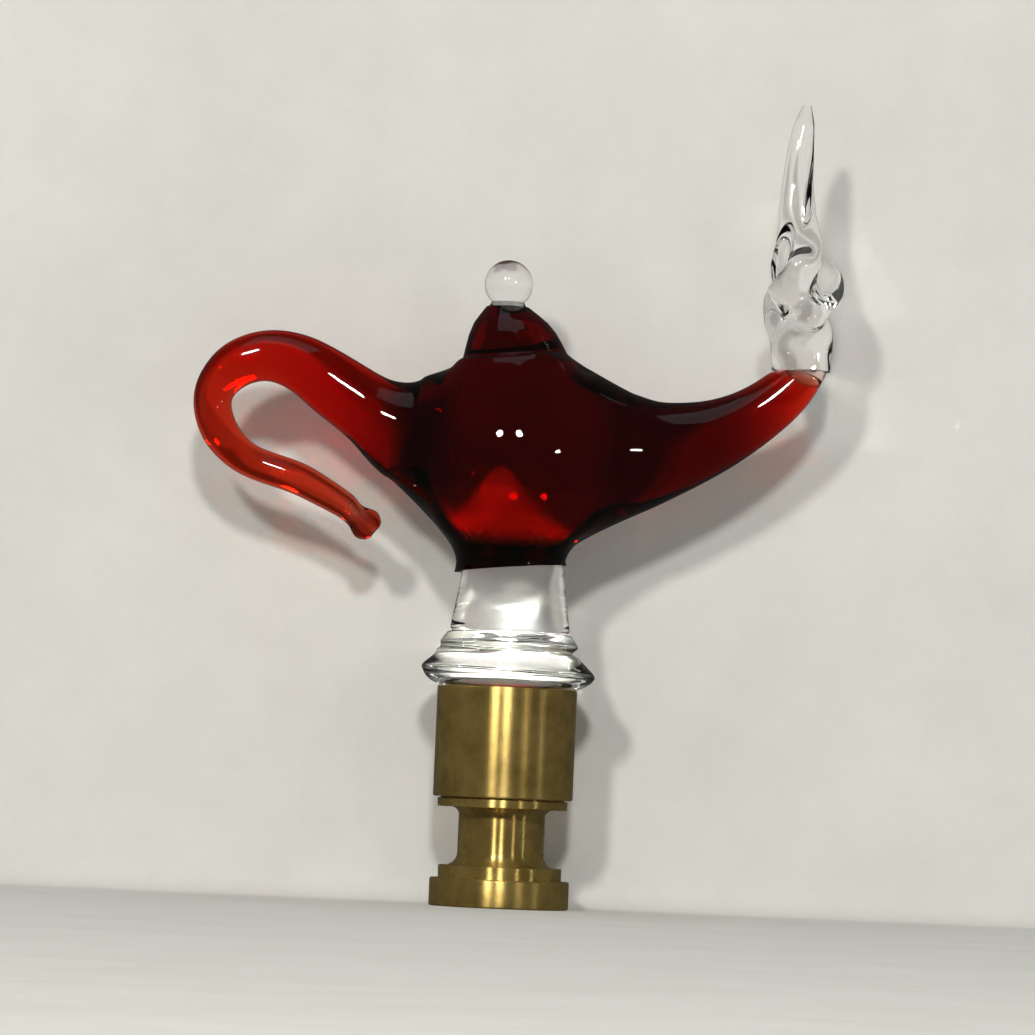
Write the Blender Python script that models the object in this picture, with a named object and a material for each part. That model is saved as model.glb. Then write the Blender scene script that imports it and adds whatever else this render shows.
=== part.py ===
"""A lamp shade finial: a lampworked glass oil lamp on a turned brass base.

The origin is the middle of the brass foot's underside, with +Z up along the brass base,
the handle towards -X and the spout towards +X.
"""

import math

import bmesh
import bpy
import numpy as np
from mathutils import Vector

MM = 0.001

# Brass base, a turning from half inch round bar
BAR_DIAMETER = 12.7 * MM
FLANGE_HEIGHT = 2.55 * MM
STEP_DIAMETER = 11.2 * MM
STEP_HEIGHT = 1.15 * MM
NECK_DIAMETER = 7.85 * MM
NECK_HEIGHT = 5.3 * MM
NECK_FILLET = 0.75 * MM
COLLAR_DIAMETER = 11.8 * MM
COLLAR_HEIGHT = 0.9 * MM
BARREL_HEIGHT = 10.1 * MM
EDGE_BREAK = 0.18 * MM
BORE_DIAMETER = 6.35 * MM
BORE_DEPTH = 9.5 * MM
BORE_MOUTH = 0.4 * MM

# Room left where one piece rests on the next
SEAM = 0.3 * MM

# Clear glass foot
DISC_DIAMETER = 15.76 * MM
DISC_HEIGHT = 2.75 * MM
DISC_SEAT = 0.94 * BAR_DIAMETER
RING_DIAMETER = 12.5 * MM
RING_HEIGHT = 2.1 * MM
STEM_FOOT_DIAMETER = 11.1 * MM
STEM_DIAMETER = 9.2 * MM
STEM_HEIGHT = 5.55 * MM
DISC_TILT = math.radians(1.8)

# Ruby lamp body: heights are above the seam at the top of the stem
BELLY_DIAMETER = 15.0 * MM
BELLY_RISE = 10.2 * MM
BODY_HEIGHT = 19.1 * MM
BODY_SET = 0.2 * MM
BODY_LEAN = 1.25 * MM
WAIST_DIAMETER = 10.25 * MM
SKIRT_DIAMETER = 11.7 * MM
SKIRT_RISE = 2.2 * MM
SHOULDER_DIAMETER = 12.5 * MM
SHOULDER_RISE = 18.15 * MM
SHOULDER_TILT = math.radians(3.8)
LID_DIAMETER = 9.55 * MM
LID_HEIGHT = 4.6 * MM
LID_TOP_DIAMETER = 3.8 * MM
LID_TILT = math.radians(6)
ROOT_WIDTH = math.radians(56)

# Handle: its hook reaches out from the belly, curls over and ends in a small ball
HANDLE_REACH = 28.0 * MM
HANDLE_ROD = 2.95 * MM
HANDLE_ROOT = 10.3 * MM
HANDLE_BALL = 2.85 * MM

# Spout
SPOUT_REACH = 25.8 * MM
SPOUT_RISE = 19.0 * MM
SPOUT_TIP = 4.2 * MM
SPOUT_ROOT = 11.8 * MM

# Clear knob on the lid and clear flame on the spout
KNOB_DIAMETER = 4.4 * MM
KNOB_HEIGHT = 3.95 * MM
KNOB_NECK = 3.6 * MM
FLAME_HEIGHT = 24.1 * MM
FLAME_WIDTH = 7.65 * MM
FLAME_FOOT = 5.3 * MM
FLAME_TIP = 1.9 * MM
FLAME_TURN = math.radians(240)
FLAME_BROADEST = 0.26
FLAME_GROOVE = 0.45

# Fineness of the round forms
LATHE_STEPS = 28
KNOB_STEPS = 16
CAGE_FACES = 4
BODY_LEVELS = 1
FLAME_LEVELS = 1
FLAME_SIDES = 12
FLAME_RINGS = 11

BRASS_TOP = FLANGE_HEIGHT + STEP_HEIGHT + NECK_HEIGHT + COLLAR_HEIGHT + BARREL_HEIGHT
FOOT_BOTTOM = BRASS_TOP + SEAM
FOOT_TOP = FOOT_BOTTOM + DISC_HEIGHT + RING_HEIGHT + STEM_HEIGHT
BODY_BOTTOM = FOOT_TOP + SEAM


def clear_scene():
    for thing in list(bpy.data.objects):
        bpy.data.objects.remove(thing, do_unlink=True)


def material(name, colour, roughness, metallic=0.0, transmission=0.0):
    made = bpy.data.materials.new(name)
    made.use_nodes = True
    shader = made.node_tree.nodes["Principled BSDF"]
    shader.inputs["Base Color"].default_value = (*colour, 1.0)
    shader.inputs["Roughness"].default_value = roughness
    shader.inputs["Metallic"].default_value = metallic
    shader.inputs["Transmission Weight"].default_value = transmission
    return made


def finish(bm, name, finish_material, levels=0, sharp=math.radians(40)):
    """Make the object, with its faces pointing outwards."""
    bmesh.ops.recalc_face_normals(bm, faces=bm.faces)
    mesh = bpy.data.meshes.new(name)
    bm.to_mesh(mesh)
    bm.free()
    mesh.materials.append(finish_material)
    mesh.shade_smooth()
    made = bpy.data.objects.new(name, mesh)
    bpy.context.scene.collection.objects.link(made)
    if levels:
        smooth = made.modifiers.new("Smooth form", "SUBSURF")
        smooth.levels = levels
        smooth.render_levels = levels
    else:
        mesh.set_sharp_from_angle(angle=sharp)
    return made


def turned(profile, steps):
    """Turn a profile of (radius, height) points once round the Z axis."""
    bm = bmesh.new()
    points = [bm.verts.new((radius, 0, height)) for radius, height in profile]
    edges = [bm.edges.new(pair) for pair in zip(points, points[1:])]
    bmesh.ops.spin(
        bm,
        geom=points + edges,
        cent=(0, 0, 0),
        axis=(0, 0, 1),
        angle=2 * math.pi,
        steps=steps,
        use_merge=True,
    )
    bmesh.ops.remove_doubles(bm, verts=bm.verts, dist=0.001 * MM)
    return bm


def brass_base(finish_material):
    bar = BAR_DIAMETER / 2
    step = STEP_DIAMETER / 2
    neck = NECK_DIAMETER / 2
    collar = COLLAR_DIAMETER / 2
    bore = BORE_DIAMETER / 2
    step_top = FLANGE_HEIGHT + STEP_HEIGHT
    neck_top = step_top + NECK_HEIGHT
    collar_top = neck_top + COLLAR_HEIGHT
    curve = [math.radians(angle) for angle in (0, 30, 60, 90)]
    lower_cove = [
        (neck + NECK_FILLET * (1 - math.sin(a)), step_top + NECK_FILLET * (1 - math.cos(a)))
        for a in curve
    ]
    upper_cove = [(radius, step_top + neck_top - height) for radius, height in lower_cove]
    profile = [
        (0, BRASS_TOP),
        (bar - EDGE_BREAK, BRASS_TOP),
        (bar, BRASS_TOP - EDGE_BREAK),
        (bar, collar_top + EDGE_BREAK),
        (bar - EDGE_BREAK, collar_top),
        (collar, collar_top),
        (collar, neck_top),
        *upper_cove,
        *reversed(lower_cove),
        (step, step_top),
        (step, FLANGE_HEIGHT),
        (bar - EDGE_BREAK, FLANGE_HEIGHT),
        (bar, FLANGE_HEIGHT - EDGE_BREAK),
        (bar, EDGE_BREAK),
        (bar - EDGE_BREAK, 0),
        (bore + BORE_MOUTH, 0),
        (bore, BORE_MOUTH),
        (bore, BORE_DEPTH),
        (0, BORE_DEPTH),
    ]
    return finish(turned(profile, LATHE_STEPS), "brass_base", finish_material)


def glass_foot(finish_material):
    """The disc, ring and stem, with the disc's rim rocked a little, as it was pressed by hand."""
    seat = DISC_SEAT / 2
    disc = DISC_DIAMETER / 2
    ring = RING_DIAMETER / 2
    stem = STEM_DIAMETER / 2
    stem_foot = STEM_FOOT_DIAMETER / 2
    ring_bottom = FOOT_BOTTOM + DISC_HEIGHT
    ring_top = ring_bottom + RING_HEIGHT
    profile = [
        (0, FOOT_TOP),
        (stem - 0.05 * STEM_DIAMETER, FOOT_TOP),
        (stem, FOOT_TOP - 0.04 * STEM_HEIGHT),
        (stem + 0.3 * (stem_foot - stem), FOOT_TOP - 0.35 * STEM_HEIGHT),
        (stem_foot, ring_top + 0.05 * STEM_HEIGHT),
        (stem_foot - 0.15 * (ring - stem_foot), ring_top - 0.02 * RING_HEIGHT),
        (stem_foot + 0.25 * (ring - stem_foot), ring_top - 0.25 * RING_HEIGHT),
        (ring, ring_bottom + 0.45 * RING_HEIGHT),
        (ring - 0.02 * RING_DIAMETER, ring_bottom),
        (ring + 0.55 * (disc - ring), FOOT_BOTTOM + 0.8 * DISC_HEIGHT),
        (disc - 0.01 * DISC_DIAMETER, FOOT_BOTTOM + 0.6 * DISC_HEIGHT),
        (disc, FOOT_BOTTOM + 0.45 * DISC_HEIGHT),
        (disc - 0.02 * DISC_DIAMETER, FOOT_BOTTOM + 0.2 * DISC_HEIGHT),
        (seat, FOOT_BOTTOM),
        (0, FOOT_BOTTOM),
    ]
    bm = turned(profile, LATHE_STEPS)
    rim_height = FOOT_BOTTOM + 0.45 * DISC_HEIGHT
    for vert in bm.verts:
        rise = (vert.co.z - FOOT_BOTTOM) / (rim_height - FOOT_BOTTOM)
        fall = (FOOT_TOP - vert.co.z) / (FOOT_TOP - rim_height)
        vert.co.z -= math.tan(DISC_TILT) * vert.co.x * max(0.0, min(rise, fall))
    return finish(bm, "glass_foot", finish_material)


def ring_spot(seat):
    """Bring a point of the cage's square end on to a round one, with even steps round it."""
    reach = max(abs(seat.x), abs(seat.y))
    if reach == 0.0:
        return Vector((0, 0))
    if abs(seat.x) >= abs(seat.y):
        turn = math.pi / 4 * seat.y / seat.x
        return Vector((math.cos(turn), math.sin(turn))) * seat.x
    turn = math.pi / 4 * seat.x / seat.y
    return Vector((math.sin(turn), math.cos(turn))) * seat.y


def drawn_on(bm, faces):
    """Extrude an end by one ring, and return its faces in their new place."""
    drawn = bmesh.ops.extrude_face_region(bm, geom=faces)["geom"]
    bmesh.ops.delete(bm, geom=faces, context="FACES")
    return [face for face in drawn if isinstance(face, bmesh.types.BMFace)]


def draw_out(bm, faces, stations, across):
    """Draw a square end of the cage out through stations, each with its middle, its half
    height, its half depth and its way along, as a lampworker pulls hot glass."""
    seat_layer = bm.verts.layers.float_vector["seat"]
    for middle, half_height, half_depth, way in stations:
        faces = drawn_on(bm, faces)
        upward = Vector((way.z, 0, -way.x)) if across < 0 else Vector((-way.z, 0, way.x))
        for vert in {vert for face in faces for vert in face.verts}:
            seat = vert[seat_layer]
            spot = ring_spot(Vector((seat.z, seat.y)))
            vert.co = middle + upward * (half_height * spot.x)
            vert.co.y += half_depth * spot.y
    return faces


def raise_up(bm, faces, stations):
    """Draw the top or bottom end of the cage through round stations, each with its middle,
    its radius and its tilt."""
    seat_layer = bm.verts.layers.float_vector["seat"]
    for middle, radius, tilt in stations:
        faces = drawn_on(bm, faces)
        for vert in {vert for face in faces for vert in face.verts}:
            seat = vert[seat_layer]
            spot = belly_spot(Vector((seat.x, seat.y))) * radius
            vert.co = middle + Vector((spot.x, spot.y, math.tan(tilt) * spot.x))
    return faces


def sharpen(bm, faces):
    """Keep the rim round an end face crisp."""
    crease = bm.edges.layers.float.get("crease_edge") or bm.edges.layers.float.new("crease_edge")
    inside = set(faces)
    for face in faces:
        for edge in face.edges:
            if not all(other in inside for other in edge.link_faces):
                edge[crease] = 1.0


def surface_point(vert, crease):
    """Where a corner of the cage comes to lie on the smooth surface."""
    sharp = [edge.other_vert(vert).co for edge in vert.link_edges if edge[crease] > 0.5]
    if len(sharp) == 2:
        return (4 * vert.co + sharp[0] + sharp[1]) / 6
    count = len(vert.link_edges)
    total = count * count * vert.co
    for edge in vert.link_edges:
        total += 4 * edge.other_vert(vert).co
    for face in vert.link_faces:
        near = {edge.other_vert(vert) for edge in vert.link_edges}
        far = [corner for corner in face.verts if corner is not vert and corner not in near]
        total += far[0].co
    return total / (count * (count + 5))


def settle_cage(bm, rounds=40):
    """Move the cage until its smooth surface passes through the corners as they were given."""
    crease = bm.edges.layers.float.get("crease_edge") or bm.edges.layers.float.new("crease_edge")
    aims = [(vert, vert.co.copy()) for vert in bm.verts]
    for _ in range(rounds):
        reached = [surface_point(vert, crease) for vert, _ in aims]
        for (vert, aim), point in zip(aims, reached):
            vert.co += aim - point


def ways_along(middles, first, last):
    """The direction of a path at each of its stations."""
    path = [middles[0] - first, *middles, middles[-1] + last]
    return [(after - before).normalized() for before, after in zip(path, path[2:])]


def fill_in(stations):
    """Put one more station halfway between each two, on a smooth curve through them all."""
    rows = [np.array([*middle, height, depth, *way]) for middle, height, depth, way in stations]
    rows = [2 * rows[0] - rows[1], *rows, 2 * rows[-1] - rows[-2]]
    filled = []
    for before, start, end, after in zip(rows, rows[1:], rows[2:], rows[3:]):
        filled += [start, (9 * (start + end) - before - after) / 16]
    filled.append(rows[-2])
    return [
        (Vector(row[:3]), float(row[3]), float(row[4]), Vector(row[5:]).normalized())
        for row in filled
    ]


def handle_stations():
    """The hook as shares of its reach, with the rod's own thickness."""
    rod = HANDLE_ROD / 2
    root = HANDLE_ROOT / 2
    shares = [
        (-0.342, 0.423, root, 0.68 * root),
        (-0.412, 0.450, 0.80 * root, 0.64 * root),
        (-0.493, 0.495, 2.22 * rod, 2.12 * rod),
        (-0.612, 0.570, 2.00 * rod, 1.98 * rod),
        (-0.723, 0.634, 1.76 * rod, 1.76 * rod),
        (-0.833, 0.652, 1.57 * rod, 1.57 * rod),
        (-0.937, 0.611, 1.42 * rod, 1.42 * rod),
        (-0.998, 0.515, 1.20 * rod, 1.22 * rod),
        (-0.970, 0.400, 1.14 * rod, 1.16 * rod),
        (-0.875, 0.312, 1.02 * rod, 1.04 * rod),
        (-0.710, 0.257, rod, rod),
        (-0.567, 0.184, 0.84 * rod, 0.84 * rod),
        (-0.530, 0.155, 0.74 * rod, 0.74 * rod),
    ]
    middles = [Vector((x, 0, z)) * HANDLE_REACH for x, z, _, _ in shares]
    middles = [Vector((0, 0, BODY_BOTTOM)) + middle for middle in middles]
    last = (middles[-1] - middles[-2]).normalized()
    ways = ways_along(middles, middles[0] - body_middle(BELLY_RISE), last * HANDLE_BALL)
    stations = [
        (middle, half_height, half_depth, way)
        for middle, way, (_, _, half_height, half_depth) in zip(middles, ways, shares)
    ]
    stations = fill_in(stations)
    ball = HANDLE_BALL / 2
    centre = middles[-1] + last * (1.05 * ball)
    stations.append((centre, ball, ball, last))
    stations.append((centre + last * (0.72 * ball), 0.68 * ball, 0.68 * ball, last))
    return stations


def spout_stations():
    root = SPOUT_ROOT / 2
    tip = SPOUT_TIP / 2
    shares = [
        (0.386, 0.566, root, 0.68 * root),
        (0.526, 0.596, 0.755 * root, 0.60 * root),
        (0.683, 0.665, 0.576 * root, 0.51 * root),
        (0.813, 0.758, 0.465 * root, 0.44 * root),
        (0.920, 0.871, 1.13 * tip, 1.13 * tip),
    ]
    middles = [
        Vector((x * SPOUT_REACH, 0, BODY_BOTTOM + z * SPOUT_RISE)) for x, z, _, _ in shares
    ]
    end = Vector((SPOUT_REACH, 0, BODY_BOTTOM + SPOUT_RISE))
    ways = ways_along(middles, middles[0] - body_middle(BELLY_RISE), end - middles[-1])
    stations = [
        (middle, half_height, half_depth, way)
        for middle, way, (_, _, half_height, half_depth) in zip(middles, ways, shares)
    ]
    stations.append((end, tip, tip, Vector((0, 0, 1))))
    return fill_in(stations)


def body_middle(height):
    """The middle of the body at a height above the seam: the lid leans towards the handle."""
    share = height / (BODY_HEIGHT + LID_HEIGHT)
    return Vector((-BODY_SET - BODY_LEAN * share ** 5, 0, BODY_BOTTOM + height))


def belly_spot(seat):
    """A point of the cage's square on the unit circle, with narrow sides for the two roots."""
    spot = ring_spot(seat)
    if spot.length == 0.0:
        return spot
    turn = math.atan2(abs(spot.y), abs(spot.x))
    corner = math.pi / 4
    if turn <= corner:
        turn *= ROOT_WIDTH / (2 * corner)
    else:
        turn = math.pi / 2 - (math.pi / 2 - turn) * (math.pi - ROOT_WIDTH) / (2 * corner)
    x = math.copysign(math.cos(turn), spot.x)
    y = math.copysign(math.sin(turn), spot.y)
    return Vector((x, y)) * spot.length


def lamp_body(finish_material):
    """The ruby body, pulled from one ball: the belly's cage is a cube with its sides divided,
    and the handle, spout, lid and waist are drawn out of its sides."""
    bm = bmesh.new()
    bmesh.ops.create_cube(bm, size=2.0)
    bmesh.ops.subdivide_edges(bm, edges=bm.edges[:], cuts=CAGE_FACES - 1, use_grid_fill=True)
    seat_layer = bm.verts.layers.float_vector.new("seat")
    for vert in bm.verts:
        vert[seat_layer] = vert.co.copy()
    sides = {
        name: [face for face in bm.faces if face.normal.dot(Vector(normal)) > 0.9]
        for name, normal in (
            ("left", (-1, 0, 0)),
            ("right", (1, 0, 0)),
            ("top", (0, 0, 1)),
            ("bottom", (0, 0, -1)),
        )
    }
    skirt = np.array([SKIRT_RISE, SKIRT_DIAMETER / 2, 0.97, 0])
    belly = np.array([BELLY_RISE, BELLY_DIAMETER / 2, 1.0, 0])
    shoulder = np.array([SHOULDER_RISE, SHOULDER_DIAMETER / 2, 0.90, SHOULDER_TILT])
    for vert in bm.verts:
        seat = vert[seat_layer]
        rise = seat.z
        level = belly + rise * (shoulder - skirt) / 2
        level += rise * rise * (shoulder + skirt - 2 * belly) / 2
        height, radius, depth, tilt = (float(part) for part in level)
        spot = belly_spot(Vector((seat.x, seat.y))) * radius
        vert.co = body_middle(height) + Vector((spot.x, depth * spot.y, math.tan(tilt) * spot.x))
    draw_out(bm, sides["left"], handle_stations(), -1)
    tip = draw_out(bm, sides["right"], spout_stations(), 1)
    lid = LID_DIAMETER / 2
    lid_shares = [(0, 1), (0.213, 0.929), (0.461, 0.834), (0.678, 0.709), (0.843, 0.558),
                  (1, LID_TOP_DIAMETER / LID_DIAMETER)]
    lid_rings = [
        (body_middle(BODY_HEIGHT + rise * LID_HEIGHT), width * lid, LID_TILT * (1 - rise))
        for rise, width in lid_shares
    ]
    lid_base = raise_up(bm, sides["top"], lid_rings[:1])
    sharpen(bm, lid_base)
    raise_up(bm, lid_base, lid_rings[1:])
    waist = raise_up(bm, sides["bottom"], [(body_middle(0), WAIST_DIAMETER / 2, 0)])
    sharpen(bm, tip)
    sharpen(bm, waist)
    settle_cage(bm)
    return finish(bm, "lamp_body", finish_material, levels=BODY_LEVELS)


def lid_knob(finish_material):
    """A round bead, pressed on to the lid."""
    bead = KNOB_DIAMETER / 2
    neck = KNOB_NECK / 2
    centre = KNOB_HEIGHT - bead
    lowest = -math.acos(neck / bead)
    angles = np.linspace(math.pi / 2, lowest, 9)
    profile = [(bead * math.cos(a), centre + bead * math.sin(a)) for a in angles]
    profile[0] = (0, KNOB_HEIGHT)
    profile += [(neck, 0), (0, 0)]
    bm = turned(profile, KNOB_STEPS)
    top = body_middle(BODY_HEIGHT + LID_HEIGHT) + Vector((0, 0, SEAM))
    bmesh.ops.translate(bm, verts=bm.verts, vec=top)
    return finish(bm, "lid_knob", finish_material)


def flame_outline(share):
    """Half width, half thickness and sideways sway of the flame at a share of its height."""
    foot = FLAME_FOOT / 2
    wide = FLAME_WIDTH / 2
    tip = FLAME_TIP / 2
    shares = (0.0, 0.09, 0.18, 0.28, 0.38, 0.47, 0.59, 0.70, 0.83, 0.93, 1.0)
    widths = (foot, 1.26 * foot, wide, wide, 0.89 * wide, 0.68 * wide, 0.55 * wide,
              0.43 * wide, 0.36 * wide, tip, 0.4 * tip)
    depths = (foot, 1.02 * foot, 0.68 * wide, 0.62 * wide, 0.6 * wide, 0.54 * wide, 0.46 * wide,
              0.39 * wide, 0.33 * wide, tip, 0.4 * tip)
    sways = (-0.08, -0.12, -0.14, -0.12, -0.09, -0.17, -0.32, -0.35, -0.31, -0.24, -0.18)
    return tuple(float(np.interp(share, shares, row)) for row in (widths, depths, sways))


def spout_flame(finish_material):
    """A strip of clear glass with thick rims, twisted as it was pulled to its tip."""
    bm = bmesh.new()
    ring = bmesh.ops.create_circle(bm, cap_ends=False, segments=FLAME_SIDES, radius=1.0)["verts"]
    rings = [ring]
    edges = list({edge for vert in ring for edge in vert.link_edges})
    for _ in range(FLAME_RINGS):
        drawn = bmesh.ops.extrude_edge_only(bm, edges=edges)["geom"]
        ring = [part for part in drawn if isinstance(part, bmesh.types.BMVert)]
        edges = [part for part in drawn if isinstance(part, bmesh.types.BMEdge)]
        rings.append(ring)
    foot = Vector((SPOUT_REACH, 0, BODY_BOTTOM + SPOUT_RISE + SEAM))
    for index, ring in enumerate(rings):
        share = index / FLAME_RINGS
        width, depth, sway = flame_outline(share)
        turn = FLAME_TURN * (share - FLAME_BROADEST)
        groove = FLAME_GROOVE * math.sin(math.pi * min(1.0, share + 0.1))
        for vert in ring:
            angle = math.atan2(vert.co.y, vert.co.x)
            x = width * math.cos(angle)
            y = depth * math.sin(angle) * (1 - groove * math.sin(angle) ** 4)
            middle = foot + Vector((sway * FLAME_WIDTH / 2, 0, share * FLAME_HEIGHT))
            vert.co = middle + Vector((
                x * math.cos(turn) - y * math.sin(turn),
                x * math.sin(turn) + y * math.cos(turn),
                0,
            ))
    ends = bmesh.ops.holes_fill(
        bm, edges=[edge for edge in bm.edges if edge.is_boundary], sides=0
    )["faces"]
    sharpen(bm, [min(ends, key=lambda face: face.calc_center_median().z)])
    return finish(bm, "spout_flame", finish_material, levels=FLAME_LEVELS)


def main():
    clear_scene()
    brass = material("aged brass", (0.35, 0.26, 0.09), 0.35, metallic=1.0)
    clear = material("clear glass", (0.95, 0.96, 0.95), 0.03, transmission=1.0)
    ruby = material("ruby glass", (0.45, 0.01, 0.02), 0.03, transmission=1.0)
    brass_base(brass)
    glass_foot(clear)
    lamp_body(ruby)
    lid_knob(clear)
    spout_flame(clear)


main()
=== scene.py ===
"""The looks of a lamp shade finial: a lampworked glass oil lamp on a turned brass base.

Clear and ruby borosilicate glass, pulled and pressed in the flame, stands on a turning from
half inch round bar. The picture looks along +Y, a little from below.
"""

import math

import bmesh
import bpy
import numpy as np
from mathutils import Matrix, Vector


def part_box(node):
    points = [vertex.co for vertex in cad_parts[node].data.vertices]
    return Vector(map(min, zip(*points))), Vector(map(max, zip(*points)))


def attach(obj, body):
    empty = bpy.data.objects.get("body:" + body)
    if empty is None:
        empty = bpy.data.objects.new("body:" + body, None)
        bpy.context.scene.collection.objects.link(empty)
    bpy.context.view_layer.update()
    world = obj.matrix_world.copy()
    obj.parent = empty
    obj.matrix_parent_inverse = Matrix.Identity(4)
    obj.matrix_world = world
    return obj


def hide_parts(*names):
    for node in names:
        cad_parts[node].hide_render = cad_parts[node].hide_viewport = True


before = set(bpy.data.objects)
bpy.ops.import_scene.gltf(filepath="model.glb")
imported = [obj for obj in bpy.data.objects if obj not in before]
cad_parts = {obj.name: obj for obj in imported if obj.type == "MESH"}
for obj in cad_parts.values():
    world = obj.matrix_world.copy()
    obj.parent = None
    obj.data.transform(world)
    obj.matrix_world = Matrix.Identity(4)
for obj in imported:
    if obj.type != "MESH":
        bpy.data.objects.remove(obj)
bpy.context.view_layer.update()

MM = 0.001


# Measures of the object, in the frame of the CAD

_, BASE_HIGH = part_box("brass_base")
_, FOOT_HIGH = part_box("glass_foot")
BODY_LOW, BODY_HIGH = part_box("lamp_body")
KNOB_LOW, KNOB_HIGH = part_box("lid_knob")
_, FLAME_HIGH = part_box("spout_flame")

BRASS_TOP = BASE_HIGH.z
FOOT_BOTTOM = BRASS_TOP + 0.03 * MM
SEAM_HEIGHT = (FOOT_HIGH.z + BODY_LOW.z) / 2
SEAM_TILT = math.radians(5.5)
RIM_TILT = math.radians(1.8)
FUSED = 0.04 * MM


# Colours and shader nodes


def hex_linear(code):
    """An sRGB hex colour as the linear values that the shaders take."""
    parts = [int(code[i:i + 2], 16) / 255 for i in (0, 2, 4)]
    linear = [c / 12.92 if c <= 0.04045 else ((c + 0.055) / 1.055) ** 2.4 for c in parts]
    return (*linear, 1.0)


def add_node(tree, kind, settings=None, values=None, links=None):
    """Add one shader node with its settings, its socket values and the links into it."""
    made = tree.nodes.new(kind)
    for name, value in (settings or {}).items():
        setattr(made, name, value)
    for name, value in (values or {}).items():
        made.inputs[name].default_value = value
    for name, source in (links or {}).items():
        tree.links.new(source, made.inputs[name])
    return made


def new_material(name):
    made = bpy.data.materials.new(name)
    made.use_nodes = True
    made.node_tree.nodes.clear()
    return made, made.node_tree


def ramp(tree, source, stops):
    """A colour ramp with its stops given as places and colours."""
    made = add_node(tree, "ShaderNodeValToRGB", links={"Fac": source})
    elements = made.color_ramp.elements
    while len(elements) < len(stops):
        elements.new(0.5)
    for element, (place, colour) in zip(elements, stops):
        element.position = place
        element.color = colour
    return made


# Making pieces


def finish_piece(bm, name, nodes, material, levels=0, sharp=math.radians(35)):
    """Make a piece from its bmesh, let it ride on the part and stand for its CAD node."""
    bmesh.ops.recalc_face_normals(bm, faces=bm.faces)
    mesh = bpy.data.meshes.new(name)
    bm.to_mesh(mesh)
    bm.free()
    mesh.materials.append(material)
    mesh.shade_smooth()
    piece = bpy.data.objects.new(name, mesh)
    bpy.context.scene.collection.objects.link(piece)
    if levels:
        smooth = piece.modifiers.new("Smooth form", "SUBSURF")
        smooth.levels = levels
        smooth.render_levels = levels
    else:
        mesh.set_sharp_from_angle(angle=sharp)
    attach(piece, "root")
    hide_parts(*nodes)
    return piece


def smooth_path(points, steps):
    """Points on a smooth curve through the given ones, with that many steps between each two."""
    rows = [np.array(point, float) for point in points]
    rows = [2 * rows[0] - rows[1], *rows, 2 * rows[-1] - rows[-2]]
    path = []
    for p0, p1, p2, p3 in zip(rows, rows[1:], rows[2:], rows[3:]):
        for t in np.arange(steps) / steps:
            path.append(0.5 * (2 * p1 + (p2 - p0) * t + (2 * p0 - 5 * p1 + 4 * p2 - p3) * t * t
                               + (3 * p1 - p0 - 3 * p2 + p3) * t ** 3))
    path.append(rows[-2])
    return path


def turned(profile, steps):
    """Turn a profile of (radius, height) points once round the Z axis."""
    bm = bmesh.new()
    points = [bm.verts.new((radius, 0, height)) for radius, height in profile]
    edges = [bm.edges.new(pair) for pair in zip(points, points[1:])]
    bmesh.ops.spin(bm, geom=points + edges, cent=(0, 0, 0), axis=(0, 0, 1),
                   angle=2 * math.pi, steps=steps, use_merge=True)
    bmesh.ops.remove_doubles(bm, verts=bm.verts, dist=0.0005 * MM)
    return bm


# Materials


def turned_brass(name, grain, tarnish):
    """Free-cutting brass rod, turned and left bare. The tool's fine rings draw each lamp out into
    an upright line, and handling has dulled the yellow to olive brown. The dull film is why the
    shader is a little short of a full metal."""
    made, tree = new_material(name)
    place = add_node(tree, "ShaderNodeTexCoord")
    blotch = add_node(tree, "ShaderNodeTexNoise",
                      values={"Scale": 420.0, "Detail": 6.0, "Roughness": 0.6},
                      links={"Vector": place.outputs["Object"]})
    colour = ramp(tree, blotch.outputs["Fac"], [
        (0.30, hex_linear("a58d4e")),
        (0.52, hex_linear("c0a55f")),
        (0.75, hex_linear("d2b871")),
    ])
    pitting = add_node(tree, "ShaderNodeTexNoise",
                       values={"Scale": 5200.0, "Detail": 3.0, "Roughness": 0.7},
                       links={"Vector": place.outputs["Object"]})
    rings_place = add_node(tree, "ShaderNodeMapping", values={"Scale": (60.0, 60.0, 16000.0)},
                           links={"Vector": place.outputs["Object"]})
    rings = add_node(tree, "ShaderNodeTexNoise",
                     values={"Scale": 1.0, "Detail": 2.0, "Roughness": 0.6},
                     links={"Vector": rings_place.outputs["Vector"]})
    roughness = add_node(tree, "ShaderNodeMapRange",
                         values={"To Min": tarnish - 0.06, "To Max": tarnish + 0.10},
                         links={"Value": blotch.outputs["Fac"]})
    fine = add_node(tree, "ShaderNodeBump", values={"Strength": 0.25, "Distance": 0.000012},
                    links={"Height": rings.outputs["Fac"]})
    skin = add_node(tree, "ShaderNodeBump", values={"Strength": grain, "Distance": 0.00003},
                    links={"Height": pitting.outputs["Fac"], "Normal": fine.outputs["Normal"]})
    around = add_node(tree, "ShaderNodeTangent", {"direction_type": "RADIAL", "axis": "Z"})
    shader = add_node(tree, "ShaderNodeBsdfPrincipled",
                      values={"Metallic": 0.82, "Anisotropic": 1.0, "Anisotropic Rotation": 0.25},
                      links={"Base Color": colour.outputs["Color"],
                             "Roughness": roughness.outputs["Result"],
                             "Normal": skin.outputs["Normal"],
                             "Tangent": around.outputs["Tangent"]})
    add_node(tree, "ShaderNodeOutputMaterial", links={"Surface": shader.outputs["BSDF"]})
    return made


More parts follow.
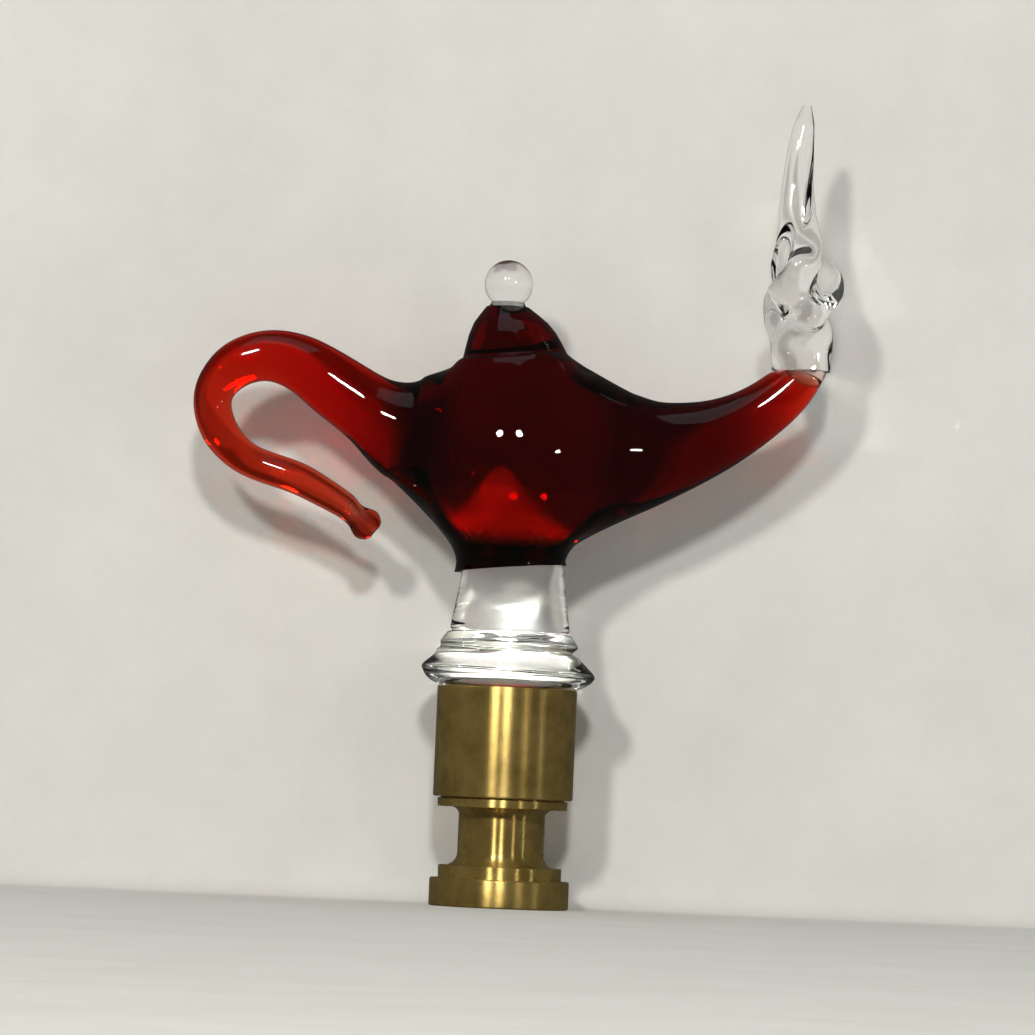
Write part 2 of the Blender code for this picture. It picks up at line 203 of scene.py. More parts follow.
def flame_glass(name, absorption, density, shaded=False):
    """Borosilicate glass, fire polished: smooth, clear and coloured right through. Shaded glass
    also has painted shade: its surface colour darkens by a share kept on its mesh, which stands
    partly for deeper ruby and partly for the dark bands that bent light leaves in it."""
    made, tree = new_material(name)
    shader = add_node(tree, "ShaderNodeBsdfPrincipled",
                      values={"Base Color": hex_linear("ffffff"), "Roughness": 0.0, "IOR": 1.474,
                              "Transmission Weight": 1.0})
    if shaded:
        # Painted shade: the surface colour is darkened by the share kept on the mesh, partly deeper
        # ruby
        share = add_node(tree, "ShaderNodeAttribute", {"attribute_name": "deeper_ruby_and_painted_shade"})
        depth = ramp(tree, share.outputs["Fac"], [(0.0, (0, 0, 0, 1)), (1.0, (1, 1, 1, 1))])
        tree.links.new(depth.outputs["Color"], shader.inputs["Base Color"])
    colour = add_node(tree, "ShaderNodeVolumeAbsorption",
                      values={"Color": absorption, "Density": density})
    add_node(tree, "ShaderNodeOutputMaterial",
             links={"Surface": shader.outputs["BSDF"], "Volume": colour.outputs["Volume"]})
    return made


# Brass base: a turning from half inch bar. The hole for the harp's screw has closed rings at the
# thread's pitch, which stand for the thread


def brass_base(bar_skin, cut_brass):
    bar = 6.35 * MM
    step, neck, collar = 5.6 * MM, 3.925 * MM, 5.9 * MM
    flange_top, step_top, neck_top, collar_top = 2.55 * MM, 3.7 * MM, 9.0 * MM, 9.9 * MM
    edge = 0.18 * MM
    low_cove, high_cove = 1.15 * MM, 0.75 * MM
    bore = 3.0 * MM
    bore_top = 9.5 * MM
    quarter = [math.radians(a) for a in range(0, 91, 10)]
    round_in = [(1 - math.sin(a), 1 - math.cos(a)) for a in quarter]
    lower_cove = [(neck + low_cove * out, step_top + low_cove * up) for out, up in round_in]
    upper_cove = [(neck + high_cove * out, neck_top - high_cove * up) for out, up in round_in]
    rounded = [(edge * math.sin(a), edge * (1 - math.cos(a))) for a in quarter[::3]]
    profile = [(0, BRASS_TOP)]
    profile += [(bar - edge + out, BRASS_TOP - down) for out, down in rounded]
    profile += [(bar - edge + out, collar_top + down) for out, down in reversed(rounded)]
    profile += [(collar - 0.25 * MM, collar_top), (collar - 0.25 * MM, collar_top - 0.1 * MM),
                (collar - 0.05 * MM, collar_top - 0.12 * MM), (collar, collar_top - 0.17 * MM),
                (collar, neck_top + 0.06 * MM), (collar - 0.06 * MM, neck_top)]
    profile += upper_cove
    profile += list(reversed(lower_cove))
    profile += [(step - 0.06 * MM, step_top), (step, step_top - 0.06 * MM), (step, flange_top)]
    profile += [(bar - edge + out, flange_top - down) for out, down in rounded]
    profile += [(bar - edge + out, down) for out, down in reversed(rounded)]
    mouth, thread_depth, threads_an_inch = 0.4 * MM, 0.3 * MM, 27
    profile += [(bore + mouth, 0)]
    pitch = 25.4 * MM / threads_an_inch
    turns = int(bore_top / pitch)
    for turn in range(turns):
        height = mouth + turn * pitch
        profile += [(bore, height), (bore + thread_depth, height + pitch / 2)]
    profile += [(bore, bore_top), (0, bore_top)]
    bm = turned(profile, 128)
    for face in bm.faces:
        middle = face.calc_center_median()
        wide = math.hypot(middle.x, middle.y) > bar - edge
        face.material_index = 0 if wide else 1
    piece = finish_piece(bm, "Turned_brass_base", ["brass_base"], bar_skin)
    piece.data.materials.append(cut_brass)
    return piece


# Clear glass foot


def glass_foot(clear):
    """The pressed disc, the ring and the stem: the rim is rocked and the top is cut on the slant
    where the ruby gather was set on it."""
    rim_height = FOOT_BOTTOM + 1.25 * MM
    disc = [(6.05, 0.0), (6.75, 0.18), (7.45, 0.62), (7.84, 1.2), (7.86, 1.52), (7.55, 1.9),
            (6.95, 2.45), (6.4, 2.95)]
    ring = [(6.12, 3.28), (6.16, 3.55), (6.27, 3.8), (6.18, 4.1), (5.85, 4.58), (5.62, 4.84)]
    stem = [(5.3, 4.94), (5.28, 5.06), (5.42, 5.24), (5.36, 5.8), (5.12, 7.2), (4.85, 8.8),
            (4.66, 10.0), (4.6, 10.6)]
    outline = disc + ring + stem
    curve = smooth_path([(radius * MM, FOOT_BOTTOM + height * MM) for radius, height in outline], 4)
    top = curve[-1][1]
    lift = SEAM_HEIGHT + FUSED - top
    profile = [(0, FOOT_BOTTOM), *[tuple(point) for point in curve], (0, top)]
    bm = turned(profile, 96)
    for vert in bm.verts:
        share = (vert.co.z - FOOT_BOTTOM) / (top - FOOT_BOTTOM)
        rise = (vert.co.z - FOOT_BOTTOM) / (rim_height - FOOT_BOTTOM)
        fall = 1 - (vert.co.z - rim_height) / (4 * MM)
        vert.co.z -= math.tan(RIM_TILT) * vert.co.x * max(0.0, min(rise, fall))
        slant = max(0.0, (share - 0.5) / 0.5)
        vert.co.z += (lift + math.tan(SEAM_TILT) * vert.co.x) * slant
        # The groove under the ring is deeper on the spout's side
        across = math.hypot(vert.co.x, vert.co.y)
        if across > 5 * MM:
            groove = math.exp(-((vert.co.z - FOOT_BOTTOM - 3.25 * MM) / (0.3 * MM)) ** 2)
            cut = 0.35 * MM * groove * vert.co.x / across
            vert.co.x *= 1 - cut / across
            vert.co.y *= 1 - cut / across
    return finish_piece(bm, "Clear_glass_foot", ["glass_foot"], clear)


# Ruby body, pulled from one gather


BODY_RISE = 19.1 * MM
LID_RISE = 4.6 * MM
ROOT_RISE = 10.2 * MM
BODY_SHIFT = -0.2 * MM
LID_LEAN = 1.25 * MM
SPOUT_REACH = 25.8 * MM
SPOUT_RISE = 19.0 * MM
TIP_SINK = 1.3 * MM
TIP_CAP = 2.02
HANDLE_SIDE = math.radians(52)
SPOUT_SIDE = math.radians(60)
FLOW = 4.0 * MM

# In mm above the seam: the belly's radius
BELLY_LINE = [(-0.4, 5.05), (1.0, 5.25), (1.8, 5.6), (3.0, 6.3), (4.6, 6.95), (6.6, 7.5),
              (8.8, 7.75), (10.6, 7.65), (12.4, 7.3), (14.4, 6.75), (16.4, 6.15), (18.2, 5.6),
              (19.4, 5.0)]

# In mm along X: the height of the middle of the handle's and the spout's roots, and their half
# depths
ROOT_MIDDLES = [(-17, 16), (-13.8, 13.9), (-11.5, 12.6), (-9.6, 11.8), (0, 10), (10, 10.8),
                (13.6, 11.3), (17.6, 12.6), (21, 14.4), (24, 16.6)]
ROOT_DEPTHS = [(-17.5, 2.9), (-14, 3.25), (-11.5, 3.75), (-9.6, 4.3), (-7, 5.4), (-4, 6.4),
               (0, 6.9), (4, 6.8), (7, 6.0), (10, 5.0), (13.6, 4.07), (17.6, 3.3), (21, 2.72),
               (24, 2.4)]

# Share of light that the ruby's surface keeps, in mm along X and in mm above the seam. It is
# painted shade, and stands partly for deeper ruby and partly for the dark bands that bent light
# leaves in it
SHADE_ALONG = [(-30, 0.72), (-20, 0.66), (-14, 0.5), (-9.5, 0.16), (-6.5, 0.3), (-4.5, 0.95),
               (0, 1.0), (5.5, 0.95), (8, 0.4), (11, 0.2), (16, 0.12), (20, 0.16), (23, 0.4),
               (25, 0.75), (27, 0.98)]
SHADE_UP = [(-1, 0.06), (2.5, 0.06), (3.2, 1.0), (6.4, 1.0), (7.4, 0.64), (14, 0.62), (18, 0.6),
            (19.5, 0.3), (30, 0.3)]


def body_middle(height):
    """The middle of the body at a height above the seam: the lid leans towards the handle."""
    share = height / (BODY_RISE + LID_RISE)
    return Vector((BODY_SHIFT - LID_LEAN * share ** 5, 0, BODY_LOW.z + height))


def ring_spot(seat):
    """Bring a point of the cage's square end on to a round one, with even steps round it."""
    reach = max(abs(seat.x), abs(seat.y))
    if reach == 0.0:
        return Vector((0, 0))
    if abs(seat.x) >= abs(seat.y):
        turn = math.pi / 4 * seat.y / seat.x
        return Vector((math.cos(turn), math.sin(turn))) * seat.x
    turn = math.pi / 4 * seat.x / seat.y
    return Vector((math.sin(turn), math.cos(turn))) * seat.y


def belly_spot(seat):
    """A point of the cage's square on the unit circle, with wide sides for the two roots."""
    spot = ring_spot(seat)
    if spot.length == 0.0:
        return spot
    turn = math.atan2(abs(spot.y), abs(spot.x))
    half_root = HANDLE_SIDE if spot.x < 0 else SPOUT_SIDE
    if turn <= math.pi / 4:
        turn *= half_root / (math.pi / 4)
    else:
        turn = math.pi / 2 - (math.pi / 2 - turn) * (math.pi / 2 - half_root) / (math.pi / 4)
    x = math.copysign(math.cos(turn), spot.x)
    y = math.copysign(math.sin(turn), spot.y)
    return Vector((x, y)) * spot.length


def drawn_on(bm, faces):
    """Extrude an end by one ring, and return its faces in their new place."""
    drawn = bmesh.ops.extrude_face_region(bm, geom=faces)["geom"]
    bmesh.ops.delete(bm, geom=faces, context="FACES")
    return [face for face in drawn if isinstance(face, bmesh.types.BMFace)]


def draw_out(bm, faces, stations, across):
    """Draw a square end of the cage out through stations, as a lampworker pulls hot glass."""
    seat_layer = bm.verts.layers.float_vector["seat"]
    for middle, half_height, half_depth, way in stations:
        faces = drawn_on(bm, faces)
        upward = Vector((way.z, 0, -way.x)) if across < 0 else Vector((-way.z, 0, way.x))
        for vert in {vert for face in faces for vert in face.verts}:
            seat = vert[seat_layer]
            spot = ring_spot(Vector((seat.z, seat.y)))
            vert.co = middle + upward * (half_height * spot.x)
            vert.co.y += half_depth * spot.y
    return faces


def raise_up(bm, faces, stations):
    """Draw the top or bottom end of the cage through round stations."""
    seat_layer = bm.verts.layers.float_vector["seat"]
    for middle, radius, tilt in stations:
        faces = drawn_on(bm, faces)
        for vert in {vert for face in faces for vert in face.verts}:
            seat = vert[seat_layer]
            spot = belly_spot(Vector((seat.x, seat.y))) * radius
            vert.co = middle + Vector((spot.x, spot.y, math.tan(tilt) * spot.x))
    return faces


def sharpen(bm, faces, amount=1.0):
    """Keep the rim round an end face crisp."""
    crease = bm.edges.layers.float.get("crease_edge") or bm.edges.layers.float.new("crease_edge")
    inside = set(faces)
    for face in faces:
        for edge in face.edges:
            if not all(other in inside for other in edge.link_faces):
                edge[crease] = amount


def surface_point(vert, crease):
    """Where a corner of the cage comes to lie on the smooth surface."""
    sharp = [edge.other_vert(vert).co for edge in vert.link_edges if edge[crease] > 0.5]
    if len(sharp) == 2:
        return (4 * vert.co + sharp[0] + sharp[1]) / 6
    count = len(vert.link_edges)
    total = count * count * vert.co
    for edge in vert.link_edges:
        total += 4 * edge.other_vert(vert).co
    near = {edge.other_vert(vert) for edge in vert.link_edges}
    for face in vert.link_faces:
        far = [corner for corner in face.verts if corner is not vert and corner not in near]
        total += far[0].co
    return total / (count * (count + 5))


def settle_cage(bm, rounds=40):
    """Move the cage until its smooth surface passes through the corners as they were given."""
    crease = bm.edges.layers.float.get("crease_edge") or bm.edges.layers.float.new("crease_edge")
    aims = [(vert, vert.co.copy()) for vert in bm.verts]
    for _ in range(rounds):
        reached = [surface_point(vert, crease) for vert, _ in aims]
        for (vert, aim), point in zip(aims, reached):
            vert.co += aim - point


def fill_in(stations):
    """Put one more station halfway between each two, on a smooth curve through them all."""
    rows = [[*middle, height, depth, *way] for middle, height, depth, way in stations]
    return [
        (Vector(row[:3]), float(row[3]), float(row[4]), Vector(row[5:]).normalized())
        for row in smooth_path(rows, 2)
    ]


def path_stations(shares, reach, rise, first, last):
    """Stations along a pulled rod, each with its middle, half height, half depth and way."""
    middles = [Vector((x * reach, 0, BODY_LOW.z + z * rise)) for x, z, _, _ in shares]
    path = [first, *middles, last or 2 * middles[-1] - middles[-2]]
    ways = [(after - before).normalized() for before, after in zip(path, path[2:])]
    return [(middle, h, d, way) for middle, way, (_, _, h, d) in zip(middles, ways, shares)]


def handle_stations():
    """The hooked handle, from its root in the belly to the ball at its end."""
    root, rod, reach = 5.25 * MM, 1.475 * MM, 28.0 * MM
    shares = [
        (-0.342, 0.427, root, 0.80 * root),
        (-0.412, 0.450, 0.80 * root, 0.70 * root),
        (-0.493, 0.495, 2.22 * rod, 2.18 * rod),
        (-0.612, 0.570, 2.00 * rod, 1.98 * rod),
        (-0.723, 0.634, 1.76 * rod, 1.76 * rod),
        (-0.833, 0.652, 1.57 * rod, 1.57 * rod),
        (-0.937, 0.611, 1.42 * rod, 1.42 * rod),
        (-0.998, 0.515, 1.20 * rod, 1.22 * rod),
        (-0.970, 0.400, 1.14 * rod, 1.16 * rod),
        (-0.875, 0.312, 1.02 * rod, 1.04 * rod),
        (-0.710, 0.257, rod, rod),
        (-0.567, 0.184, 0.84 * rod, 0.84 * rod),
        (-0.530, 0.155, 0.74 * rod, 0.74 * rod),
    ]
    stations = path_stations(shares, reach, reach, body_middle(ROOT_RISE), None)
    middle, _, _, _ = stations[-1]
    last = (middle - stations[-2][0]).normalized()
    stations = fill_in(stations)
    ball = 1.47 * MM
    for step, width in ((0.5, 0.80), (1.0, 1.0), (1.5, 0.92), (1.84, 0.6)):
        stations.append((middle + last * (step * ball), width * ball, width * ball, last))
    return stations


def spout_stations():
    """The spout, from its root in the belly to the seat of the flame."""
    root, tip = 5.9 * MM, 2.1 * MM
    shares = [
        (0.386, 0.566, root, 0.87 * root),
        (0.526, 0.596, 0.755 * root, 0.69 * root),
        (0.683, 0.665, 0.576 * root, 0.56 * root),
        (0.813, 0.758, 0.465 * root, 0.46 * root),
        (0.920, 0.871, 1.13 * tip, 1.13 * tip),
    ]
    end = Vector((SPOUT_REACH, 0, BODY_LOW.z + SPOUT_RISE))
    stations = path_stations(shares, SPOUT_REACH, SPOUT_RISE, body_middle(ROOT_RISE), end)
    stations.append((end, tip, tip, Vector((0, 0, 1))))
    return fill_in(stations)


def melt(one, other, width):
    """Join two distances as hot glass flows together, over about that width."""
    near = np.maximum(width - np.abs(one - other), 0) / width
    return np.minimum(one, other) - near ** 3 * width / 6


def fade(value, start, end):
    """0 at the start and 1 at the end, smooth in between."""
    share = np.clip((value - start) / (end - start), 0, 1)
    return share * share * (3 - 2 * share)


def side_lines(points):
    """The upper and lower outlines of the two roots, from the points in the middle plane."""
    line = points[np.abs(points[:, 1]) < 0.0005 * MM]
    line = line[(np.abs(line[:, 0]) > 6.4 * MM) & (line[:, 0] > -16 * MM) & (line[:, 0] < 24 * MM)]
    rise = line[:, 2] - BODY_LOW.z
    line = line[(rise > 7 * MM) | (line[:, 0] > -10.8 * MM)]
    rise = line[:, 2] - BODY_LOW.z
    xs, zs = np.array(ROOT_MIDDLES).T * MM
    upper = line[rise > np.interp(line[:, 0], xs, zs)]
    lower = line[rise <= np.interp(line[:, 0], xs, zs)]
    return [part[np.argsort(part[:, 0])] for part in (upper, lower)]


def root_distance(points, upper, lower):
    """How far points lie outside the handle's and the spout's roots, which are oval across."""
    x = points[:, 0]
    high = np.interp(x, upper[:, 0], upper[:, 2])
    low = np.interp(x, lower[:, 0], lower[:, 2])
    xs, depths = np.array(smooth_path(ROOT_DEPTHS, 6)).T * MM
    depth = np.interp(x, xs, depths)
    half = (high - low) / 2
    oval = np.hypot((points[:, 2] - (high + low) / 2) / half, points[:, 1] / depth)
    return (oval - 1) * np.minimum(half, depth)


def belly_distance(points):
    """How far points lie outside the turned belly."""
    heights, radii = np.array(smooth_path(BELLY_LINE, 6)).T * MM
    rise = points[:, 2] - BODY_LOW.z
    lean = BODY_SHIFT - LID_LEAN * (rise / (BODY_RISE + LID_RISE)) ** 5
    return np.hypot(points[:, 0] - lean, points[:, 1]) - np.interp(rise, heights, radii)


def flow(piece):
    """Let the belly, the handle and the spout run into each other, as hot glass does. The
    outline in the middle plane, the waist, the lid and the free ends of the two rods hold."""
    graph = bpy.context.evaluated_depsgraph_get()
    mesh = bpy.data.meshes.new_from_object(piece.evaluated_get(graph))
    points = np.empty(3 * len(mesh.vertices))
    mesh.vertices.foreach_get("co", points)
    points = points.reshape(-1, 3)
    upper, lower = side_lines(points)
    rise = points[:, 2] - BODY_LOW.z
    hold = fade(rise, 0.1 * MM, 1.6 * MM) * (1 - fade(rise, 17.6 * MM, 18.9 * MM))
    hold *= fade(points[:, 0], -14 * MM, -10 * MM) * (1 - fade(points[:, 0], 17 * MM, 21 * MM))
    hold[(rise < 7 * MM) & (points[:, 0] < -10.8 * MM)] = 0
    hold *= fade(np.abs(points[:, 1]), 0, 3 * MM)

    def outside(places):
        width = FLOW * (0.1 + 0.9 * fade(np.abs(places[:, 1]), 0, 4 * MM))
        return melt(belly_distance(places), root_distance(places, upper, lower), width)

    step = 0.02 * MM
    for _ in range(6):
        level = outside(points)
        slope = np.stack([(outside(points + step * way) - level) / step for way in np.eye(3)],
                         axis=1)
        push = level / np.maximum((slope * slope).sum(axis=1), 0.2)
        points = points - (hold * push)[:, None] * slope
    mesh.vertices.foreach_set("co", points.ravel())
    mesh.update()
    # Painted shade on the ruby: a share of light kept at each point, darkest in a band at the foot
    # of the belly and along the two roots, partly standing for deeper ruby
    along, kept_along = np.array(smooth_path(SHADE_ALONG, 4)).T
    up, kept_up = np.array(smooth_path(SHADE_UP, 4)).T
    kept = np.interp(points[:, 0] / MM, along, kept_along)
    near = 1 - fade(np.abs(points[:, 0]), 8 * MM, 11 * MM)
    kept *= 1 - near * (1 - np.interp((points[:, 2] - BODY_LOW.z) / MM, up, kept_up))
    off = np.hypot(points[:, 0] - SPOUT_REACH, points[:, 1]) / (TIP_CAP * MM)
    cap = (off < 1) & (np.abs(rise - SPOUT_RISE) < 0.03 * MM)
    points[cap, 2] -= TIP_SINK * (1 - off[cap] ** 2)
    mesh.vertices.foreach_set("co", points.ravel())
    deeper_ruby_and_painted_shade = mesh.attributes.new("deeper_ruby_and_painted_shade", "FLOAT", "POINT")
    deeper_ruby_and_painted_shade.data.foreach_set("value", np.clip(kept, 0, 1))
    piece.modifiers.clear()
    piece.data = mesh


def ruby_body(ruby):
    """The belly's cage is a cube with its sides divided, and the handle, the spout, the lid and
    the waist are drawn out of its sides. The skirt, the belly and the shoulder are each given as
    a height, a radius, a share of depth and a tilt."""
    bm = bmesh.new()
    bmesh.ops.create_cube(bm, size=2.0)
    bmesh.ops.subdivide_edges(bm, edges=bm.edges[:], cuts=3, use_grid_fill=True)
    seat_layer = bm.verts.layers.float_vector.new("seat")
    for vert in bm.verts:
        vert[seat_layer] = vert.co.copy()
    left, right, top, bottom = (
        [face for face in bm.faces if face.normal.dot(Vector(way)) > 0.9]
        for way in ((-1, 0, 0), (1, 0, 0), (0, 0, 1), (0, 0, -1))
    )
    skirt = np.array([2.2 * MM, 5.85 * MM, 0.90, 0])
    belly = np.array([ROOT_RISE, 7.5 * MM, 1.01, 0])
    shoulder = np.array([18.15 * MM, 6.25 * MM, 0.90, math.radians(3.8)])
    for vert in bm.verts:
        seat = vert[seat_layer]
        rise = seat.z
        level = belly + rise * (shoulder - skirt) / 2
        level += rise * rise * (shoulder + skirt - 2 * belly) / 2
        height, radius, depth, tilt = (float(part) for part in level)
        spot = belly_spot(Vector((seat.x, seat.y))) * radius
        vert.co = body_middle(height) + Vector((spot.x, depth * spot.y, math.tan(tilt) * spot.x))
    draw_out(bm, left, handle_stations(), -1)
    tip = draw_out(bm, right, spout_stations(), 1)
    lid = 4.775 * MM
    lid_shares = [(0, 1), (0.213, 0.929), (0.461, 0.834), (0.678, 0.709), (0.843, 0.558), (1, 0.40)]
    lid_rings = [
        (body_middle(BODY_RISE + rise * LID_RISE), width * lid, math.radians(6) * (1 - rise))
        for rise, width in lid_shares
    ]
    lid_base = raise_up(bm, top, lid_rings[:1])
    sharpen(bm, lid_base, 0.8)
    lid_top = raise_up(bm, lid_base, lid_rings[1:])
    waist_middle = body_middle(SEAM_HEIGHT - FUSED - BODY_LOW.z)
    waist = raise_up(bm, bottom, [(waist_middle, 5.1 * MM, SEAM_TILT)])
    sharpen(bm, tip)
    sharpen(bm, waist)
    sharpen(bm, lid_top, 0.6)
    settle_cage(bm)
    piece = finish_piece(bm, "Ruby_glass_body", ["lamp_body"], ruby, levels=3)
    flow(piece)
    return piece


# Clear knob and clear flame


def glass_knob(clear):
    bead = 2.2 * MM
    neck = 1.8 * MM
    centre = KNOB_HIGH.z - bead
    bottom = BODY_HIGH.z - FUSED
    angles = np.radians(np.linspace(90, -48, 40))
    profile = [(0, KNOB_HIGH.z)]
    profile += [(bead * math.cos(a), centre + bead * math.sin(a)) for a in angles[1:]]
    profile += [(neck - 0.25 * MM, bottom + 0.35 * MM), (neck - 0.1 * MM, bottom), (0, bottom)]
    bm = turned(profile, 64)
    middle = (KNOB_LOW + KNOB_HIGH) / 2
    bmesh.ops.translate(bm, verts=bm.verts, vec=(middle.x, 0, 0))
    return finish_piece(bm, "Clear_glass_knob", ["lid_knob"], clear)


FLAME_WIDE = 3.825


def flame_form(share):
    """Half width, half depth, sideways sway and groove of the flame at a share of its height."""
    foot, wide, tip = 2.65, FLAME_WIDE, 0.95
    shares = (0.0, 0.09, 0.18, 0.28, 0.38, 0.47, 0.59, 0.70, 0.83, 0.93, 1.0)
    widths = (foot, 1.26 * foot, wide, 1.02 * wide, 0.93 * wide, 0.74 * wide, 0.57 * wide,
              0.43 * wide, 0.34 * wide, tip, 0.4 * tip)
    depths = (foot, 1.1 * foot, 0.86 * wide, 0.84 * wide, 0.76 * wide, 0.60 * wide, 0.46 * wide,
              0.39 * wide, 0.33 * wide, tip, 0.4 * tip)
    sways = (-0.08, -0.12, -0.14, -0.12, -0.09, -0.17, -0.32, -0.35, -0.31, -0.24, -0.18)
    grooves = (0.0, 0.1, 0.3, 0.44, 0.46, 0.36, 0.22, 0.14, 0.08, 0.03, 0.0)
    return [float(np.interp(share, shares, row)) for row in (widths, depths, sways, grooves)]


def glass_flame(clear):
    """Clear glass with three lobes, wound tightly at its foot and pulled out to its tip. Its foot
    ends in a nub that sits in the spout."""
    rings, sides = 96, 64
    height = FLAME_HIGH.z - BODY_LOW.z - SPOUT_RISE + FUSED
    foot = Vector((SPOUT_REACH, 0, BODY_LOW.z + SPOUT_RISE - FUSED))
    bm = bmesh.new()
    ring = bmesh.ops.create_circle(bm, cap_ends=False, segments=sides, radius=1.0)["verts"]
    first = list({edge for vert in ring for edge in vert.link_edges})
    stack = [ring]
    edges = first
    for _ in range(rings):
        drawn = bmesh.ops.extrude_edge_only(bm, edges=edges)["geom"]
        stack.append([part for part in drawn if isinstance(part, bmesh.types.BMVert)])
        edges = [part for part in drawn if isinstance(part, bmesh.types.BMEdge)]
    for index, ring in enumerate(stack):
        share = index / rings
        width, depth, sway, groove = flame_form(share)
        wound = float(fade(share, 0.0, 0.6))
        turn = math.radians(-130 + 170 * wound + 90 * share)
        for vert in ring:
            angle = math.atan2(vert.co.y, vert.co.x)
            pinch = 1 - groove * (0.5 - 0.5 * math.cos(3 * angle)) ** 1.5
            x = width * MM * math.cos(angle) * pinch
            y = depth * MM * math.sin(angle) * pinch
            middle = foot + Vector((sway * FLAME_WIDE * MM, 0, share * height))
            vert.co = middle + Vector((x * math.cos(turn) - y * math.sin(turn),
                                       x * math.sin(turn) + y * math.cos(turn), 0))
    between = [vert for ring in stack[1:-1] for vert in ring]
    bmesh.ops.smooth_vert(bm, verts=between, factor=0.5,
                          use_axis_x=True, use_axis_y=True, use_axis_z=False)
    edges = first
    for width in (2.0, 1.9, 1.6, 1.2, 0.8, 0.4, 0.1):
        drawn = bmesh.ops.extrude_edge_only(bm, edges=edges)["geom"]
        edges = [part for part in drawn if isinstance(part, bmesh.types.BMEdge)]
        for vert in (part for part in drawn if isinstance(part, bmesh.types.BMVert)):
            off = Vector((vert.co.x - foot.x, vert.co.y)).normalized() * (width * MM)
            sink = TIP_SINK * (1 - (width / TIP_CAP) ** 2)
            vert.co = foot + Vector((off.x, off.y, -sink))
    bmesh.ops.holes_fill(bm, edges=[edge for edge in bm.edges if edge.is_boundary], sides=0)
    return finish_piece(bm, "Clear_glass_flame", ["spout_flame"], clear,
                        sharp=math.radians(60))


# Floor, backdrop, lamps and camera


def pale_cloth():
    """Cotton cloth that is see-through from behind, so that it hides nothing in the back view."""
    made, tree = new_material("Pale undyed cotton cloth")
    place = add_node(tree, "ShaderNodeTexCoord")
    mottle = add_node(tree, "ShaderNodeTexNoise",
                      values={"Scale": 60.0, "Detail": 12.0, "Roughness": 0.75},
                      links={"Vector": place.outputs["Object"]})
    colour = ramp(tree, mottle.outputs["Fac"], [
        (0.3, hex_linear("d3d4d0")),
        (0.7, hex_linear("dddedb")),
    ])
    shader = add_node(tree, "ShaderNodeBsdfPrincipled",
                      values={"Roughness": 0.9, "Specular IOR Level": 0.1},
                      links={"Base Color": colour.outputs["Color"]})
    clear = add_node(tree, "ShaderNodeBsdfTransparent")
    side = add_node(tree, "ShaderNodeNewGeometry")
    mix = add_node(tree, "ShaderNodeMixShader", links={"Fac": side.outputs["Backfacing"]})
    tree.links.new(shader.outputs["BSDF"], mix.inputs[1])
    tree.links.new(clear.outputs["BSDF"], mix.inputs[2])
    add_node(tree, "ShaderNodeOutputMaterial", links={"Surface": mix.outputs["Shader"]})
    return made


def studio_sweep():
    """A floor that curves up into a backdrop just behind the object."""
    front, back, bend, width, top = -1.6, 0.0092, 0.0026, 3.0, 2.4
    under_foot = 0.00002
    curve = [(back - bend + bend * math.sin(a), bend * (1 - math.cos(a)))
             for a in np.radians(np.linspace(0, 88, 8))]
    line = [(front, 0.0), *curve, (curve[-1][0] + 0.03 * (top - bend), top)]
    bm = bmesh.new()
    points = [bm.verts.new((-width, y, z - under_foot)) for y, z in line]
    edges = [bm.edges.new(pair) for pair in zip(points, points[1:])]
    drawn = bmesh.ops.extrude_edge_only(bm, edges=edges)["geom"]
    moved = [part for part in drawn if isinstance(part, bmesh.types.BMVert)]
    bmesh.ops.translate(bm, verts=moved, vec=(2 * width, 0, 0))
    mesh = bpy.data.meshes.new("Studio sweep")
    bm.to_mesh(mesh)
    bm.free()
    if mesh.polygons[0].normal.z < 0:
        mesh.flip_normals()
    mesh.shade_smooth()
    mesh.materials.append(pale_cloth())
    sweep = bpy.data.objects.new("Studio_sweep", mesh)
    bpy.context.scene.collection.objects.link(sweep)
    # The cloth stays out of mirror reflections, which keeps the brass and the belly dark
    sweep.visible_glossy = False


LAMP_AIM = 0.036


def lamp(name, azimuth, elevation, distance, size, watts, colour, shape="DISK"):
    """A lamp aimed at the object: azimuth 0 stands behind the camera, plus is to its right."""
    light = bpy.data.lights.new(name, "AREA")
    light.shape = shape
    light.size = size
    light.energy = watts
    light.color = hex_linear(colour)[:3]
    made = bpy.data.objects.new(name, light)
    a, e = math.radians(azimuth), math.radians(elevation)
    way = Vector((math.sin(a) * math.cos(e), -math.cos(a) * math.cos(e), math.sin(e)))
    made.location = Vector((0, 0, LAMP_AIM)) + way * distance
    made.rotation_euler = way.to_track_quat("Z", "Y").to_euler()
    bpy.context.scene.collection.objects.link(made)


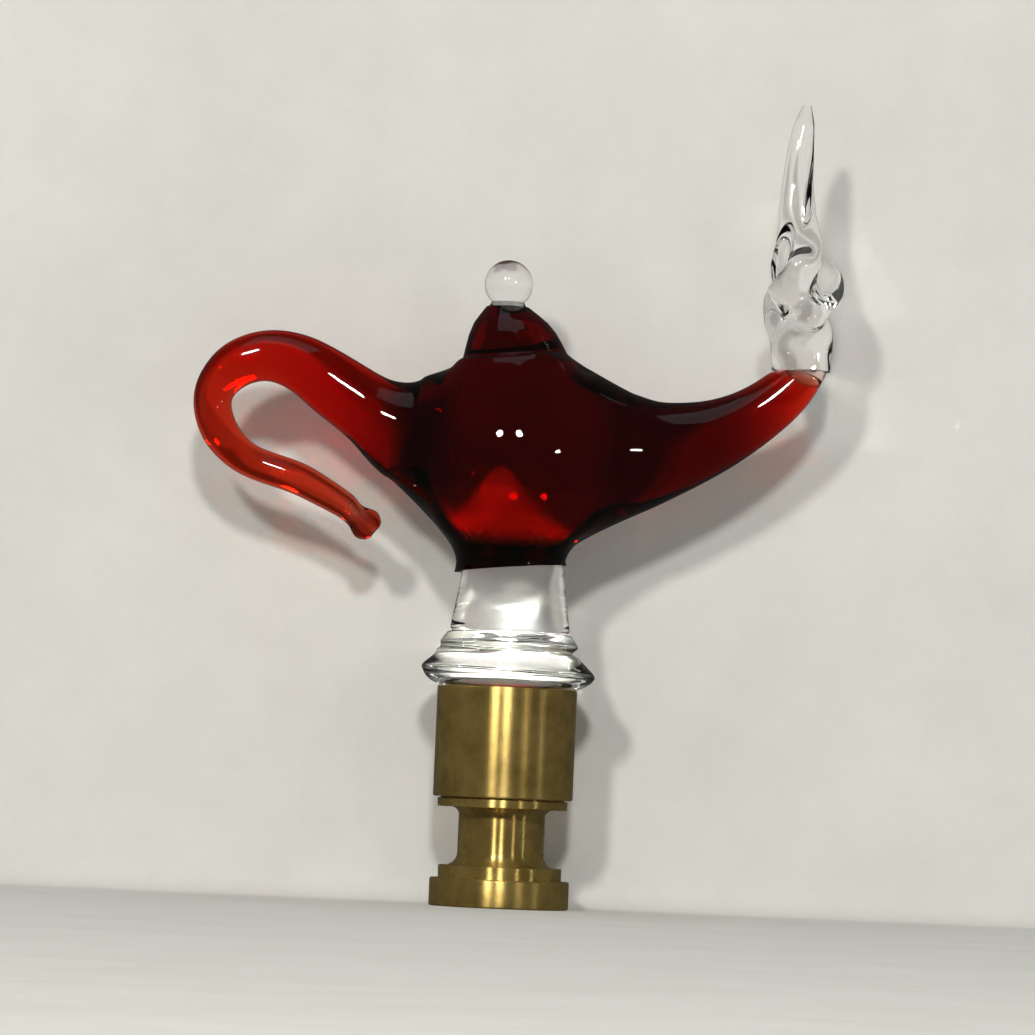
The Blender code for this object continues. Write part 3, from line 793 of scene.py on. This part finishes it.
def light_scene():
    """Two near lamps give the pair of glints and the crescent, and the rest are faint."""
    lamp("Lamp left", -19, 23.5, 0.9, 0.08, 3.0, "fffaf2")
    lamp("Lamp right", 1, 24.5, 0.9, 0.08, 3.0, "fffcf8")
    lamp("Lamp right wall", 33, 8, 0.9, 0.05, 0.3, "fff4e8")
    lamp("Lamp far right", 62, 2, 0.9, 0.04, 0.15, "f4f8ff")
    lamp("Soft top", -20, 72, 1.0, 0.7, 0.65, "f2f6ff", "SQUARE")
    world = bpy.data.worlds.new("Dim room")
    world.use_nodes = True
    world.node_tree.nodes.clear()
    tree = world.node_tree
    sky = add_node(tree, "ShaderNodeBackground",
                   values={"Color": hex_linear("b4b2ac"), "Strength": 0.12})
    add_node(tree, "ShaderNodeOutputWorld", links={"Surface": sky.outputs["Background"]})
    bpy.context.scene.world = world


def aim_camera():
    """The photograph's view: level, a touch from below, with the brass leaning 2.5 degrees."""
    data = bpy.data.cameras.new("Photograph")
    lens, sensor = 200.0, 36.0
    data.lens = lens
    data.sensor_width = sensor
    data.clip_start = 0.01
    view = bpy.data.objects.new("Photograph", data)
    bpy.context.scene.collection.objects.link(view)
    bpy.context.scene.camera = view
    centre = Vector((0.25 * MM, 0, 35.5 * MM))
    field = 94.3 * MM
    distance = field / 2 / math.tan(math.atan(sensor / 2 / lens))
    rise = math.radians(-2.7)
    back = Vector((0, -math.cos(rise), math.sin(rise)))
    lean = math.atan(0.043)
    up = Vector((0, math.sin(rise), math.cos(rise)))
    side = Vector((1, 0, 0))
    turned_up = up * math.cos(lean) - side * math.sin(lean)
    turned_side = side * math.cos(lean) + up * math.sin(lean)
    axes = Matrix((turned_side, turned_up, back)).transposed().to_4x4()
    axes.translation = centre + back * distance
    view.matrix_world = axes


bar_skin = turned_brass("Brass bar skin, as drawn", 0.35, 0.29)
cut_brass = turned_brass("Brass, turned", 0.05, 0.25)
clear = flame_glass("Clear borosilicate glass, fire polished", hex_linear("e8f4ee"), 6.0)
# The ruby's surface colour carries the painted shade kept on its mesh
ruby = flame_glass("Ruby borosilicate glass, fire polished", (0.952, 0.24, 0.0, 1.0), 1330.0,
                   shaded=True)
brass_base(bar_skin, cut_brass)
glass_foot(clear)
ruby_body(ruby)
glass_knob(clear)
glass_flame(clear)
studio_sweep()
light_scene()
aim_camera()
bpy.context.scene.view_settings.view_transform = "Standard"
# Light that the glass gathers on to the cloth is kept: it gives the belly its red crescent
bpy.context.scene.cycles.sample_clamp_indirect = 0
bpy.context.scene.cycles.blur_glossy = 0.0
